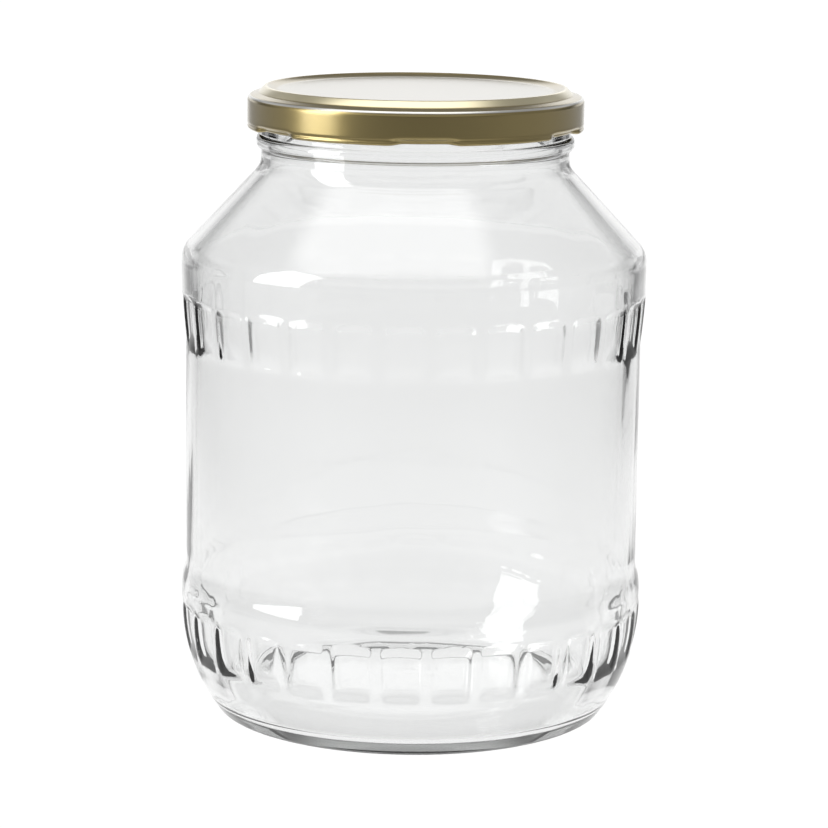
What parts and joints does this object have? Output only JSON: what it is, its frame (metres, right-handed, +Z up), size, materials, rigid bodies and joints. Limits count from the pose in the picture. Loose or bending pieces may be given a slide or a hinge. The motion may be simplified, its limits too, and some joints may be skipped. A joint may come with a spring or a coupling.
{
  "type": "preserving jar with lid",
  "caption": "Large empty preserving jar of clear pressed glass with panelled bands, closed by a gold twist-off metal cap.",
  "frame": {"origin": "centre of the jar's base, on the surface that it stands on", "axes": "+Z up along the jar's axis, -Y towards the viewer of the front"},
  "size_m": [0.1578, 0.1578, 0.214],
  "materials": {
    "clear_glass": "clear colourless pressed glass, smooth and glossy",
    "gold_lacquer": "satin gold lacquer over tinplate"
  },
  "bodies": {
    "root": {"jar": "clear_glass", "lid": "gold_lacquer"}
  },
  "joints": []
}
